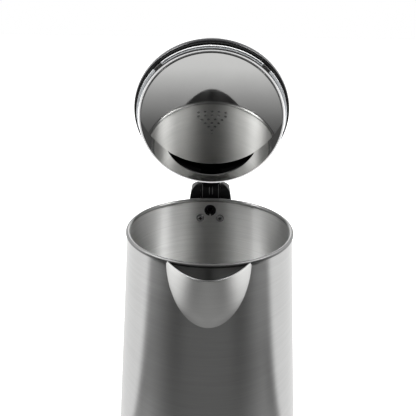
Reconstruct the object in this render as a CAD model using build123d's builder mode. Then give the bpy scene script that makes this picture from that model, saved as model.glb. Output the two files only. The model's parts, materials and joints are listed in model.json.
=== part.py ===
from build123d import *
import os
from math import acos, atan2, cos, radians, sin, sqrt, tan

os.makedirs("parts", exist_ok=True)

# Cordless electric kettle: a steel jug with a welded beak spout on a round power base.
# The base stands on z = 0, the jug's axis is Z, the spout points to -Y, the handle to +Y.
# The lid stands open on its hinge, which is its rest position.

# ---- driving dimensions (mm) ----
rim_z = 216.0                 # centre plane of the rolled rim
rim_r = 64.0                  # outer radius of the rolled rim
bead_r = 1.55                 # radius of the rolled bead
wall = 0.8                    # sheet thickness of the jug
taper = 0.0817                # growth of the jug's radius per mm downwards
shell_bottom = 44.0           # lower edge of the steel jug
jug_bottom = 22.3             # underside of the jug's plastic skirt
floor_z = 57.0                # inside floor of the jug

base_top = 22.0               # deck of the power base
base_r = 79.5
hub_r = 19.5                  # connector hub on the base
hub_top = 35.0

hinge_y = 79.8                # lid hinge axis, parallel to X
hinge_z = rim_z + 1.4
knuckle_r = 9.4
knuckle_half = 8.8            # half width of the lid's knuckle
pin_r = 2.0
open_angle = 69.5             # angle between the open lid and the closed one

lid_r = 63.5                  # outer radius of the lid
lid_rise = 3.7                # height of the lid's datum above the rim plane when closed
cover_drop = 1.7              # how far the cover reaches below that datum
seal_r = 60.3
liner_r = 57.6
liner_y = 2.2                 # the liner sits a little towards the hinge
face_front = -4.1             # liner face below the lid datum, at its front edge
face_slope = 0.085            # the liner gets deeper towards the hinge
crease_r = 60.9               # arc that ends the flat face of the liner
crease_y = -21.0              # centre of that arc, from the lid axis towards the hinge
relief_angle = 4.0            # the liner turns away from its flat face by this angle
vent_r = 39.5                 # lower edge of the crescent steam vent below the crease
vent_y = 13.5

spout_half = 28.4             # half width of the spout at the rim
spout_tip_y = -83.1
spout_depth = 45.0            # height of the spout down the jug's wall
nose_r = 17.0
spout_sheet = 1.0

steam_z = rim_z - 10.0        # steam outlet in the back wall
steam_r = 5.2
upper_screw_x = 8.9
upper_screw_z = rim_z - 17.4

handle_half = 15.0            # half width of the grip
shell_t = 2.6                 # thickness of the handle's mouldings
catch_z = 212.4               # middle of the lid catch
button_y = 102.0
lever_y = 96.0                # switch lever pivot
lever_z = 64.0
lower_screw_x = 7.0
lower_screw_z = 82.0
cheek_half = 19.4             # half width of the hinge housing


def outer_r(z):
    """Outer radius of the steel jug at height z."""
    return rim_r - bead_r + wall / 2 + 0.15 + taper * (rim_z - z)


def finish(builder, label):
    """Label a finished piece and write it."""
    builder.part.label = label
    export_step(builder.part, f"parts/{label}.step")
    print(f"{label:24s} {builder.part.volume:10.0f}")


# everything inside the jug's outer surface, bead included, as a cutting tool
with BuildPart() as jug_envelope:
    with BuildSketch(Plane.XZ):
        with BuildLine():
            Polyline(
                (0, jug_bottom),
                (outer_r(jug_bottom) + 0.02, jug_bottom),
                (outer_r(rim_z) + 0.02, rim_z),
                (outer_r(rim_z) + 0.02, rim_z + 5),
                (0, rim_z + 5),
                close=True,
            )
        make_face()
        with Locations((rim_r - bead_r, rim_z)):
            Circle(bead_r + 0.02)
    revolve(axis=Axis.Z)

# The lid is drawn on its own plane: local z leads out of its top, local y to the hinge.
closed_reach = hinge_y
closed_height = rim_z + lid_rise - hinge_z
tilt = radians(open_angle)
lid_y = hinge_y - closed_reach * cos(tilt) + closed_height * sin(tilt)
lid_z = hinge_z + closed_reach * sin(tilt) + closed_height * cos(tilt)
lid_plane = Plane(
    origin=(0, lid_y, lid_z),
    x_dir=(1, 0, 0),
    z_dir=(0, sin(tilt), cos(tilt)),
)
lid_axis = Axis(lid_plane.origin, lid_plane.z_dir)
lid_section = Plane(origin=lid_plane.origin, x_dir=(1, 0, 0), z_dir=-lid_plane.y_dir)

# =============================== power base ===============================

with BuildPart() as base_housing:
    with BuildSketch(Plane.XZ):
        with BuildLine():
            Polyline(
                (hub_r + 0.6, base_top),
                (base_r - 4, base_top),
                (base_r, base_top - 5),
                (base_r + 0.5, 3.0),
                (base_r - 2.0, 3.0),
                (base_r - 2.5, base_top - 6),
                (base_r - 5.5, base_top - 2.5),
                (hub_r + 3.1, base_top - 2.5),
                (hub_r + 3.1, base_top - 9),
                (hub_r + 0.6, base_top - 9),
                close=True,
            )
        make_face()
    revolve(axis=Axis.Z)
    fillet(base_housing.edges().filter_by(GeomType.CIRCLE).group_by(Axis.Z)[-1].sort_by(SortBy.RADIUS)[-1:], 2.0)
    with BuildSketch(Plane.XZ.offset(-base_r - 3)):
        with Locations((0, 10.5)):
            Circle(5.0)
    extrude(amount=8, mode=Mode.SUBTRACT)
finish(base_housing, "base_housing")

feet_spots = Locations(
    (0, 0),
    *((64 * cos(radians(18 + 72 * k)), 64 * sin(radians(18 + 72 * k))) for k in range(5)),
)
base_screw_spots = PolarLocations(50, 4, start_angle=45)
with BuildPart() as base_plate:
    with BuildSketch(Plane.XY.offset(1.5)):
        Circle(base_r - 2.8)
    extrude(amount=2.5)
    with BuildSketch(Plane.XY.offset(1.5)):
        with feet_spots:
            Circle(7.1)
        with base_screw_spots:
            Circle(3.6)
    extrude(amount=1.2, mode=Mode.SUBTRACT)
    with BuildSketch(Plane.XY.offset(1.5)):
        with base_screw_spots:
            Circle(1.7)
    extrude(amount=2.5, mode=Mode.SUBTRACT)
    with BuildSketch(Plane.XY.offset(4.0)):
        Circle(34)
        Circle(31.5, mode=Mode.SUBTRACT)
    extrude(amount=9)
    with BuildSketch(Plane.XY.offset(4.0)):
        with base_screw_spots:
            Circle(4.0)
            Circle(1.7, mode=Mode.SUBTRACT)
    extrude(amount=6)
finish(base_plate, "base_plate")

with BuildPart() as base_feet:
    with BuildSketch(Plane.XY):
        with feet_spots:
            Circle(7.0)
    extrude(amount=2.7)
    fillet(base_feet.edges().group_by(Axis.Z)[0], 0.5)
finish(base_feet, "base_feet")

with BuildPart() as base_screws:
    with BuildSketch(Plane.XY.offset(1.6)):
        with base_screw_spots:
            Circle(3.4)
    extrude(amount=1.1)
    with BuildSketch(Plane.XY.offset(2.6)):
        with base_screw_spots:
            Circle(1.6)
    extrude(amount=9.5)
finish(base_screws, "base_screws")

with BuildPart() as base_hub:
    with BuildSketch(Plane.XZ):
        with BuildLine():
            Polyline(
                (4.0, 13.2),
                (4.0, hub_top - 1.5),
                (5.5, hub_top),
                (hub_r - 2, hub_top),
                (hub_r, hub_top - 2),
                (hub_r, base_top - 9.2),
                (hub_r + 9, base_top - 9.2),
                (hub_r + 9, base_top - 11),
                (4.0, base_top - 11),
                close=True,
            )
        make_face()
        with BuildLine():
            Polyline(
                (9.0, base_top - 6),
                (12.4, base_top - 6),
                (12.4, hub_top + 1),
                (9.0, hub_top + 1),
                close=True,
            )
        make_face(mode=Mode.SUBTRACT)
    revolve(axis=Axis.Z)
finish(base_hub, "base_hub")

with BuildPart() as base_contacts:
    for ring_r, ring_z in ((9.1, 20.0), (11.7, 25.5)):
        with BuildSketch(Plane.XY.offset(ring_z)):
            Circle(ring_r + 0.55)
            Circle(ring_r, mode=Mode.SUBTRACT)
        extrude(amount=4.5)
    with BuildSketch(Plane.XY.offset(12.0)):
        Circle(3.9)
        Circle(3.2, mode=Mode.SUBTRACT)
    extrude(amount=14)
finish(base_contacts, "base_contacts")

with BuildPart() as terminal_block:
    with Locations((0, 46, 8.6)):
        Box(24, 12, 9)
    with Locations((-6.5, 40, 8.6), (0, 40, 8.6), (6.5, 40, 8.6)):
        Box(4, 6, 5, mode=Mode.SUBTRACT)
finish(terminal_block, "terminal_block")

with BuildPart() as terminal_screws:
    with BuildSketch(Plane.XY.offset(13.2)):
        with Locations((-6.5, 47), (0, 47), (6.5, 47)):
            Circle(2.0)
    extrude(amount=1.6)
finish(terminal_screws, "terminal_screws")

with BuildPart() as cord_inlet:
    with BuildSketch(Plane.XZ.offset(-base_r - 2.5)):
        with Locations((0, 10.5)):
            Circle(6.4)
            Circle(3.4, mode=Mode.SUBTRACT)
    extrude(amount=1.8)
    with BuildSketch(Plane.XZ.offset(-base_r - 1)):
        with Locations((0, 10.5)):
            Circle(4.7)
            Circle(3.4, mode=Mode.SUBTRACT)
    extrude(amount=8)
finish(cord_inlet, "cord_inlet")

# =============================== steel jug ===============================

hole_rows = (5, 5, 4, 3, 2, 1)
hole_pitch = 7.0
hole_drop = 5.6
first_drop = 12.5
with BuildPart() as jug_shell:
    with BuildSketch(Plane.XZ):
        with BuildLine():
            Polyline(
                (outer_r(shell_bottom) - wall, shell_bottom),
                (outer_r(shell_bottom), shell_bottom),
                (outer_r(rim_z), rim_z),
                (outer_r(rim_z) - wall, rim_z),
                close=True,
            )
        make_face()
        with Locations((rim_r - bead_r, rim_z)):
            Circle(bead_r)
    revolve(axis=Axis.Z)
    with BuildSketch(Plane.XZ.offset(40)):
        for row, count in enumerate(hole_rows):
            with Locations((0, rim_z - first_drop - row * hole_drop)):
                with GridLocations(hole_pitch, 1, count, 1):
                    Circle(1.6)
    extrude(amount=40, mode=Mode.SUBTRACT)
    with BuildSketch(Plane.XZ.offset(-40)):
        with Locations((0, steam_z)):
            Circle(steam_r - 0.9)
        with Locations((-upper_screw_x, upper_screw_z), (upper_screw_x, upper_screw_z)):
            Circle(2.0)
        with Locations((-lower_screw_x, lower_screw_z), (lower_screw_x, lower_screw_z)):
            Circle(2.0)
    extrude(amount=-50, mode=Mode.SUBTRACT)
finish(jug_shell, "jug_shell")


def beak(depth, inset):
    """Beak outline at a depth below the rim: half width, root y, tangent point and tip y."""
    share = depth / spout_depth
    half = max(spout_half * sqrt(max(1 - share * share, 0)), 5.0)
    wall_r = outer_r(rim_z - depth)
    tip = -wall_r + (spout_tip_y + outer_r(rim_z)) * (1 - share) + inset * 1.15
    nose = nose_r * (1 - 0.5 * share) - inset
    half -= inset
    root = -sqrt(wall_r ** 2 - half ** 2)
    centre = tip + nose
    reach = sqrt(half ** 2 + (root - centre) ** 2)
    turn = atan2(half, centre - root) - acos(nose / reach)
    return half, root, nose * sin(turn), centre - nose * cos(turn), tip


with BuildPart() as spout:
    for inset, depths, mode in (
        (0.0, (0, 9, 18, 26, 33, 39, 43.5), Mode.ADD),
        (spout_sheet, (-2, 9, 18, 26, 33, 39), Mode.SUBTRACT),
    ):
        for depth in depths:
            half, root, side_x, side_y, tip = beak(depth, inset)
            with BuildSketch(Plane.XY.offset(rim_z - depth)):
                with BuildLine():
                    ThreePointArc((-side_x, side_y), (0, tip), (side_x, side_y))
                    Polyline(
                        (side_x, side_y),
                        (half, root),
                        (half, root + 9),
                        (-half, root + 9),
                        (-half, root),
                        (-side_x, side_y),
                    )
                make_face()
        loft(mode=mode)
    add(jug_envelope.part, mode=Mode.SUBTRACT)
finish(spout, "spout")

# =============================== floor, heater and control ===============================

with BuildPart() as jug_floor:
    with BuildSketch(Plane.XZ):
        with BuildLine():
            Polyline(
                (0, floor_z),
                (outer_r(floor_z) - wall - 2.0, floor_z),
                (outer_r(floor_z + 3) - wall - 0.05, floor_z + 3.0),
                (outer_r(floor_z - 9) - wall - 0.05, floor_z - 9),
                (outer_r(floor_z - 9) - wall - 0.85, floor_z - 9),
                (outer_r(floor_z) - wall - 2.4, floor_z - 0.8),
                (0, floor_z - 0.8),
                close=True,
            )
        make_face()
    revolve(axis=Axis.Z)
finish(jug_floor, "jug_floor")

with BuildPart() as diffuser_plate:
    with BuildSketch(Plane.XY.offset(floor_z - 3.3)):
        Circle(58)
    extrude(amount=2.5)
    chamfer(diffuser_plate.edges().group_by(Axis.Z)[0], 1.0)
finish(diffuser_plate, "diffuser_plate")

element_r = 46.0
element_z = floor_z - 6.6
with BuildPart() as heating_element:
    with BuildLine() as element_path:
        CenterArc((0, 0, element_z), element_r, 285, 330)
    with BuildSketch(Plane(origin=element_path.line @ 0, z_dir=element_path.line % 0)):
        Circle(3.3)
    sweep(path=element_path.line)
    for turn in (255, 285):
        end = Vector(element_r * cos(radians(turn)), element_r * sin(radians(turn)), element_z)
        with BuildSketch(Plane.XY.offset(element_z - 8)):
            with Locations((end.X, end.Y)):
                Circle(1.6)
        extrude(amount=8)
finish(heating_element, "heating_element")

with BuildPart() as jug_skirt:
    with BuildSketch(Plane.XZ):
        with BuildLine():
            Polyline(
                (outer_r(jug_bottom), jug_bottom + 1.0),
                (outer_r(shell_bottom), shell_bottom - 0.1),
                (outer_r(shell_bottom) - wall - 0.2, shell_bottom - 0.1),
                (outer_r(shell_bottom) - wall - 0.3, shell_bottom + 3.2),
                (outer_r(shell_bottom) - wall - 2.8, shell_bottom + 3.2),
                (outer_r(jug_bottom) - 3.5, jug_bottom + 2.8),
                (outer_r(jug_bottom) - 6.0, jug_bottom + 2.8),
                (outer_r(jug_bottom) - 6.0, jug_bottom),
                (outer_r(jug_bottom) - 1.0, jug_bottom),
                close=True,
            )
        make_face()
    revolve(axis=Axis.Z)
finish(jug_skirt, "jug_skirt")

socket_r = hub_r + 1.2
control_screw_spots = PolarLocations(36, 3, start_angle=30)
with BuildPart() as bottom_cover:
    with BuildSketch(Plane.XY.offset(jug_bottom + 0.4)):
        Circle(outer_r(jug_bottom) - 6.2)
        Circle(socket_r + 2.6, mode=Mode.SUBTRACT)
        with control_screw_spots:
            Circle(1.7, mode=Mode.SUBTRACT)
    extrude(amount=2.2)
    with BuildSketch(Plane.XY.offset(jug_bottom + 2.6)):
        Circle(66)
        Circle(64, mode=Mode.SUBTRACT)
    extrude(amount=8)
finish(bottom_cover, "bottom_cover")

with BuildPart() as control_screws:
    with BuildSketch(Plane.XY.offset(jug_bottom + 0.1)):
        with control_screw_spots:
            Circle(3.0)
            RegularPolygon(1.1, 6, mode=Mode.SUBTRACT)
    extrude(amount=0.25)
    with BuildSketch(Plane.XY.offset(jug_bottom + 0.35)):
        with control_screw_spots:
            Circle(1.5)
    extrude(amount=9)
finish(control_screws, "control_screws")

with BuildPart() as jug_connector:
    with BuildSketch(Plane.XZ):
        with BuildLine():
            Polyline(
                (socket_r, jug_bottom + 0.4),
                (socket_r + 2.4, jug_bottom + 0.4),
                (socket_r + 2.4, hub_top + 4.2),
                (0, hub_top + 4.2),
                (0, hub_top - 9),
                (2.6, hub_top - 9),
                (2.6, hub_top + 1.8),
                (socket_r, hub_top + 1.8),
                close=True,
            )
        make_face()
    revolve(axis=Axis.Z)
finish(jug_connector, "jug_connector")

with BuildPart() as control_unit:
    with BuildSketch(Plane.XY.offset(hub_top + 4.3)):
        Rectangle(62, 44)
    extrude(amount=5.6)
    fillet(control_unit.edges().filter_by(Axis.Z), 9)
    with BuildSketch(Plane.XY.offset(jug_bottom + 2.7)):
        with control_screw_spots:
            Circle(4.2)
            Circle(1.55, mode=Mode.SUBTRACT)
    extrude(amount=9)
    with BuildSketch(Plane.XY.offset(jug_bottom + 11.7)):
        Circle(41.0)
        Circle(24, mode=Mode.SUBTRACT)
    extrude(amount=hub_top + 4.3 - jug_bottom - 11.7)
finish(control_unit, "control_unit")

with BuildPart() as bimetal_discs:
    with BuildSketch(Plane.XY.offset(hub_top + 10.0)):
        with Locations((-17, 0), (17, 0)):
            Circle(8.5)
            Rectangle(9, 1.2, mode=Mode.SUBTRACT)
    extrude(amount=0.5)
finish(bimetal_discs, "bimetal_discs")

with BuildPart() as floor_seal:
    with BuildSketch(Plane.XY.offset(shell_bottom + 3.3)):
        Circle(outer_r(shell_bottom) - wall - 1.1)
        Circle(outer_r(shell_bottom) - wall - 3.6, mode=Mode.SUBTRACT)
    extrude(amount=0.6)
finish(floor_seal, "floor_seal")

# =============================== handle and hinge housing ===============================

with BuildPart() as hinge_housing:
    with BuildSketch(Plane.YZ):
        with BuildLine():
            Polyline(
                (60, 187),
                (92, 187),
                (92, hinge_z + 2),
                (hinge_y + 7.5, hinge_z + 6.2),
                (hinge_y, hinge_z + 2),
                (hinge_y - 8, hinge_z - 5.5),
                (60, hinge_z - 7),
                close=True,
            )
        make_face()
        with Locations((hinge_y, hinge_z)):
            Circle(knuckle_r + 0.1)
    extrude(amount=cheek_half, both=True)
    with BuildSketch(Plane.XZ.offset(-130)):
        with BuildLine():
            Polyline((-cheek_half - 1.5, 180), (-cheek_half, hinge_z - 7), (-17.6, hinge_z + 3.4))
            ThreePointArc((-17.6, hinge_z + 3.4), (-14.6, hinge_z + 7.4), (-9.2, hinge_z + 9.6))
            Line((-9.2, hinge_z + 9.6), (9.2, hinge_z + 9.6))
            ThreePointArc((9.2, hinge_z + 9.6), (14.6, hinge_z + 7.4), (17.6, hinge_z + 3.4))
            Polyline((17.6, hinge_z + 3.4), (cheek_half, hinge_z - 7), (cheek_half + 1.5, 180), (-cheek_half - 1.5, 180))
        make_face()
    extrude(amount=80, mode=Mode.INTERSECT)
    # slot for the lid's knuckle and arm
    with BuildSketch(Plane.YZ):
        with Locations((hinge_y, hinge_z)):
            Circle(knuckle_r + 0.5)
        with Locations((70, rim_z + 22.2), (hinge_y, hinge_z + 20)):
            Rectangle(19.8, 40)
    extrude(amount=knuckle_half + 0.35, both=True, mode=Mode.SUBTRACT)
    # pin bore and spring pockets
    with BuildSketch(Plane.YZ):
        with Locations((hinge_y, hinge_z)):
            Circle(pin_r + 0.02)
    extrude(amount=16.6, both=True, mode=Mode.SUBTRACT)
    with BuildSketch(Plane.YZ):
        with Locations((hinge_y, hinge_z)):
            Circle(6.2)
    extrude(amount=14.2, both=True, mode=Mode.SUBTRACT)
    # steam duct, screw pilots and the inside of the block
    with BuildSketch(Plane.XZ.offset(-60)):
        with Locations((0, steam_z)):
            Circle(steam_r - 0.9)
    extrude(amount=-12, mode=Mode.SUBTRACT)
    with BuildSketch(Plane.XZ.offset(-67.7)):
        with Locations((0, steam_z - 1.4)):
            Circle(4.6)
    extrude(amount=-6.6, mode=Mode.SUBTRACT)
    with BuildSketch(Plane.XZ.offset(-60)):
        with Locations((-upper_screw_x, upper_screw_z), (upper_screw_x, upper_screw_z)):
            Circle(1.75)
    extrude(amount=-17, mode=Mode.SUBTRACT)
    with BuildSketch(Plane.XZ.offset(-71)):
        with Locations((0, 198)):
            Rectangle(9, 17.2)
    extrude(amount=-25, mode=Mode.SUBTRACT)
    with BuildSketch(Plane.XZ.offset(-85)):
        with Locations((0, catch_z)):
            Rectangle(8.8, 3.4)
    extrude(amount=-10, mode=Mode.SUBTRACT)
    add(jug_envelope.part, mode=Mode.SUBTRACT)
finish(hinge_housing, "hinge_housing")

grip_outline = (
    (92.2, 187.0, 0.0),
    (92.2, 219.0, 0.0),
    (107.0, 218.0, 9.0),
    (119.5, 203.0, 12.0),
    (117.0, 96.0, 30.0),
    (104.0, shell_bottom + 2.3, 9.0),
    (62.0, shell_bottom + 2.3, 0.0),
    (62.0, 92.0, 0.0),
    (92.0, 95.0, 9.0),
    (98.0, 110.0, 20.0),
    (98.5, 187.0, 0.0),
)
with BuildSketch(Plane.YZ) as grip_side:
    with BuildLine():
        Polyline(*[(y, z) for y, z, _ in grip_outline], close=True)
    make_face()
    for corner_y, corner_z, corner_r in grip_outline:
        if corner_r > 0:
            fillet(grip_side.vertices().sort_by_distance((corner_y, corner_z, 0))[0], corner_r)


with BuildPart() as grip_solid:
    with BuildSketch(Plane.YZ.offset(-handle_half)):
        add(grip_side.sketch_local)
    extrude(amount=2 * handle_half)
    grip_sides = grip_solid.faces().filter_by(Axis.X).sort_by(Axis.X)
    long_edges = [e for e in grip_sides[0].edges() + grip_sides[-1].edges() if e.center().Y > 80]
    fillet(long_edges, 5.0)
    add(jug_envelope.part, mode=Mode.SUBTRACT)

with BuildPart() as grip_hollow:
    with BuildSketch(Plane.YZ.offset(shell_t - handle_half)):
        add(grip_side.sketch_local)
        offset(amount=-shell_t, kind=Kind.INTERSECTION, mode=Mode.REPLACE)
    extrude(amount=2 * (handle_half - shell_t))
    with Locations((0, 72, 60)):
        Box(60, 18, 80, mode=Mode.SUBTRACT)

cover_low = 101.0
cover_high = 183.0
cover_depth = 103.0
with BuildPart() as handle_shell:
    add(grip_solid.part)
    add(grip_hollow.part, mode=Mode.SUBTRACT)
    with Locations((0, cover_depth + 0.1, (cover_low + cover_high) / 2)):
        Box(60, 40, cover_high - cover_low + 0.2, align=(Align.CENTER, Align.MAX, Align.CENTER), mode=Mode.SUBTRACT)
    # shelf under the lid button, and its hole in the top
    with Locations((0, 101, 205)):
        Box(2 * (handle_half - shell_t) + 0.4, 15, 2)
    with BuildSketch(Plane.XY.offset(210)):
        with Locations((0, button_y)):
            RectangleRounded(13.8, 10.8, 2.9)
    extrude(amount=14, mode=Mode.SUBTRACT)
    # openings towards the hinge housing for the catch and the steam tube
    with Locations((0, 93, catch_z)):
        Box(8.8, 8, 3.4, mode=Mode.SUBTRACT)
    with Locations((0, 94, 197)):
        Box(9, 8, 14, mode=Mode.SUBTRACT)
    # slot and pivot bore of the switch lever
    with Locations((0, 112, lever_z - 1)):
        Box(16, 26, 23, mode=Mode.SUBTRACT)
    with BuildSketch(Plane.YZ):
        with Locations((lever_y, lever_z)):
            Circle(2.05)
    extrude(amount=14, both=True, mode=Mode.SUBTRACT)
    # bosses of the lower screws
    with BuildSketch(Plane.XZ.offset(-79)):
        with Locations((-lower_screw_x, lower_screw_z), (lower_screw_x, lower_screw_z)):
            Circle(3.6)
    extrude(amount=-9)
    with BuildSketch(Plane.XZ.offset(-66)):
        with Locations((-lower_screw_x, lower_screw_z), (lower_screw_x, lower_screw_z)):
            Circle(1.75)
    extrude(amount=-24, mode=Mode.SUBTRACT)
finish(handle_shell, "handle_shell")

with BuildPart() as handle_cover:
    add(grip_solid.part)
    add(grip_hollow.part, mode=Mode.SUBTRACT)
    with Locations((0, cover_depth, (cover_low + cover_high) / 2)):
        Box(60, 40, cover_high - cover_low, align=(Align.CENTER, Align.MAX, Align.CENTER), mode=Mode.INTERSECT)
finish(handle_cover, "handle_cover")

for screws, screw_x, screw_z, head_y in (
    ("handle_screws_upper", upper_screw_x, upper_screw_z, 62.3),
    ("handle_screws_lower", lower_screw_x, lower_screw_z, 71.9),
):
    with BuildPart() as handle_screws:
        with BuildSketch(Plane.XZ.offset(-head_y)):
            with Locations((-screw_x, screw_z), (screw_x, screw_z)):
                Circle(3.4)
        extrude(amount=1.9)
        fillet(handle_screws.edges().group_by(Axis.Y)[0], 1.1)
        with BuildSketch(Plane.XZ.offset(-head_y + 1.9)):
            with Locations((-screw_x, screw_z), (screw_x, screw_z)):
                Rectangle(3.2, 0.8)
                Rectangle(0.8, 3.2)
        extrude(amount=-1.0, mode=Mode.SUBTRACT)
        with BuildSketch(Plane.XZ.offset(-head_y)):
            with Locations((-screw_x, screw_z), (screw_x, screw_z)):
                Circle(1.7)
        extrude(amount=-13.5)
    finish(handle_screws, screws)

with BuildPart() as steam_grommet:
    with BuildSketch(Plane.XZ.offset(-62.25)):
        with Locations((0, steam_z)):
            Circle(steam_r)
    extrude(amount=-0.25)
    with BuildSketch(Plane.XZ.offset(-62.4)):
        with Locations((0, steam_z)):
            Circle(steam_r - 1.0)
    extrude(amount=-5.1)
    with BuildSketch(Plane.XZ.offset(-60)):
        with Locations((0, steam_z - 0.6)):
            Circle(3.4)
        with Locations((0, steam_z - 5.2)):
            Rectangle(1.4, 3.4)
    extrude(amount=-9, mode=Mode.SUBTRACT)
finish(steam_grommet, "steam_grommet")

with BuildPart() as steam_tube:
    with BuildLine() as tube_path:
        FilletPolyline(
            (0, 68.0, steam_z - 1.2),
            (0, 76.0, steam_z - 3.2),
            (0, 88.0, 198.0),
            (0, 108.0, 193.0),
            (0, 108.0, 112.0),
            (0, 98.5, 91.7),
            radius=9,
        )
    with BuildSketch(Plane(origin=tube_path.line @ 0, z_dir=tube_path.line % 0)):
        Circle(3.0)
        Circle(2.2, mode=Mode.SUBTRACT)
    sweep(path=tube_path.line)
finish(steam_tube, "steam_tube")

with BuildPart() as steam_switch:
    with Locations((0, 96.5, 80.5)):
        Box(20, 15, 13)
    with Locations((0, 98.5, 88.5)):
        Box(9, 9, 3)
finish(steam_switch, "steam_switch")

with BuildPart() as hinge_pin:
    with BuildSketch(Plane.YZ):
        with Locations((hinge_y, hinge_z)):
            Circle(pin_r)
    extrude(amount=16.5, both=True)
    chamfer(hinge_pin.edges().filter_by(GeomType.CIRCLE), 0.3)
finish(hinge_pin, "hinge_pin")

spring_r = 4.7
spring_wire = 0.45
with BuildPart() as lid_springs:
    for side in (-1, 1):
        with BuildLine() as coil:
            Helix(1.05, 4.2, spring_r, center=(side * 9.5, hinge_y, hinge_z), direction=(side, 0, 0))
        with BuildSketch(Plane(origin=coil.line @ 0, z_dir=coil.line % 0)):
            Circle(spring_wire)
        sweep(path=coil.line, is_frenet=True)
finish(lid_springs, "lid_springs")

# =============================== lid button, catch and switch ===============================

with BuildPart() as lid_button:
    with BuildSketch(Plane.XY.offset(217.0)):
        with Locations((0, button_y)):
            RectangleRounded(13.0, 10.0, 2.5)
    extrude(amount=4.6)
    fillet(lid_button.edges().group_by(Axis.Z)[-1], 1.2)
finish(lid_button, "lid_button")

with BuildPart() as button_spring:
    with BuildLine() as button_coil:
        Helix(2.2, 9.9, 2.9, center=(0, button_y + 2.0, 206.5), direction=(0, 0, 1))
    with BuildSketch(Plane(origin=button_coil.line @ 0, z_dir=button_coil.line % 0)):
        Circle(0.35)
    sweep(path=button_coil.line, is_frenet=True)
finish(button_spring, "button_spring")

with BuildPart() as lid_catch:
    with Locations((0, 94.0, catch_z)):
        Box(8.2, 8.4, 2.6)
    with BuildSketch(Plane.YZ):
        with BuildLine():
            Polyline((89.0, catch_z + 2), (91.4, catch_z + 2), (89.0, catch_z - 0.6), close=True)
        make_face()
    extrude(amount=10, both=True, mode=Mode.SUBTRACT)
finish(lid_catch, "lid_catch")

with BuildPart() as switch_lever:
    with BuildSketch(Plane.YZ):
        with BuildLine():
            Polyline(
                (lever_y, lever_z - 4),
                (lever_y + 13, lever_z - 7),
                (lever_y + 19, lever_z - 6.5),
                (lever_y + 20.5, lever_z - 3.5),
                (lever_y + 17, lever_z - 1),
                (lever_y, lever_z + 4),
                close=True,
            )
        make_face()
        with Locations((lever_y, lever_z)):
            Circle(4.0)
    extrude(amount=7.4, both=True)
    fillet(switch_lever.edges().filter_by(Axis.X).group_by(Axis.Y)[-1], 1.2)
    with BuildSketch(Plane.YZ):
        with Locations((lever_y, lever_z)):
            Circle(1.98)
    extrude(amount=13.6, both=True)
    with Locations((0, lever_y + 18.6, lever_z - 2.2)):
        Box(5.2, 2.4, 3.0, mode=Mode.SUBTRACT)
finish(switch_lever, "switch_lever")

with BuildPart() as indicator_lens:
    with Locations((0, lever_y + 18.3, lever_z - 2.4)):
        Box(5.0, 1.5, 2.3)
finish(indicator_lens, "indicator_lens")

with BuildPart() as indicator_lamp:
    with BuildSketch(Plane.XY.offset(50.5)):
        with Locations((0, 90)):
            Circle(1.6)
    extrude(amount=7)
    with Locations((0, 90, 50.2)):
        Box(18, 12, 1.0)
finish(indicator_lamp, "indicator_lamp")

# =============================== lid ===============================

hinge_h = hinge_z - rim_z - lid_rise     # hinge axis above the lid's datum, closed
arm_front = 60.3
with BuildPart() as lid_cover:
    with BuildSketch(lid_section):
        with BuildLine():
            Polyline(
                (0, 2.4),
                (60.7, 2.4),
                (61.0, -cover_drop),
                (62.9, -cover_drop),
                (lid_r, -1.0),
                (lid_r, 2.4),
                (61.8, 5.0),
                (57.6, 6.0),
                (57.6, 4.6),
                (0, 4.6),
                close=True,
            )
        make_face()
    revolve(axis=lid_axis)
    with BuildSketch(lid_plane.offset(-cover_drop - 1)):
        with Locations((0, arm_front - 0.1)):
            Rectangle(2 * knuckle_half + 0.2, 12, align=(Align.CENTER, Align.MIN))
    extrude(amount=12, mode=Mode.SUBTRACT)
    with BuildSketch(lid_plane.offset(2.2)):
        with Locations((0, 48)):
            Rectangle(2 * knuckle_half + 0.2, 16, align=(Align.CENTER, Align.MIN))
    extrude(amount=1.3, mode=Mode.SUBTRACT)
    with BuildSketch(lid_plane.offset(3.0)):
        with Locations((-5, 53), (5, 53)):
            Circle(1.25)
    extrude(amount=1.4, mode=Mode.SUBTRACT)
finish(lid_cover, "lid_cover")

with BuildPart() as lid_top_plate:
    with BuildSketch(lid_plane.offset(4.65)):
        Circle(57.4)
    extrude(amount=1.4)
    fillet(lid_top_plate.edges().group_by(lid_axis)[-1], 0.6)
finish(lid_top_plate, "lid_top_plate")

with BuildPart() as lid_arm:
    with BuildSketch(Plane(origin=lid_plane.origin, x_dir=lid_plane.y_dir, z_dir=lid_plane.x_dir)):
        with BuildLine():
            Polyline(
                (arm_front, -1.2),
                (hinge_y - 4, -1.2),
                (hinge_y, hinge_h - 4),
                (hinge_y + 4, hinge_h + 8.5),
                (hinge_y - 3, hinge_h + 8.9),
                (61.8, 5.0),
                (arm_front, 5.3),
                close=True,
            )
        make_face()
        with Locations((hinge_y, hinge_h)):
            Circle(knuckle_r)
        with Locations((hinge_y, hinge_h)):
            Circle(pin_r + 0.05, mode=Mode.SUBTRACT)
    extrude(amount=knuckle_half, both=True)
    with BuildSketch(lid_plane.offset(2.45)):
        with Locations((0, 48.2)):
            Rectangle(2 * knuckle_half, 13, align=(Align.CENTER, Align.MIN))
        with Locations((-5, 53), (5, 53)):
            Circle(1.3, mode=Mode.SUBTRACT)
    extrude(amount=1.0)
finish(lid_arm, "lid_arm")

with BuildPart() as lid_arm_screws:
    with BuildSketch(lid_plane.offset(1.0)):
        with Locations((-5, 53), (5, 53)):
            Circle(2.2)
    extrude(amount=1.4)
    with BuildSketch(lid_plane.offset(2.3)):
        with Locations((-5, 53), (5, 53)):
            Circle(1.2)
    extrude(amount=2.0)
finish(lid_arm_screws, "lid_arm_screws")


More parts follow.
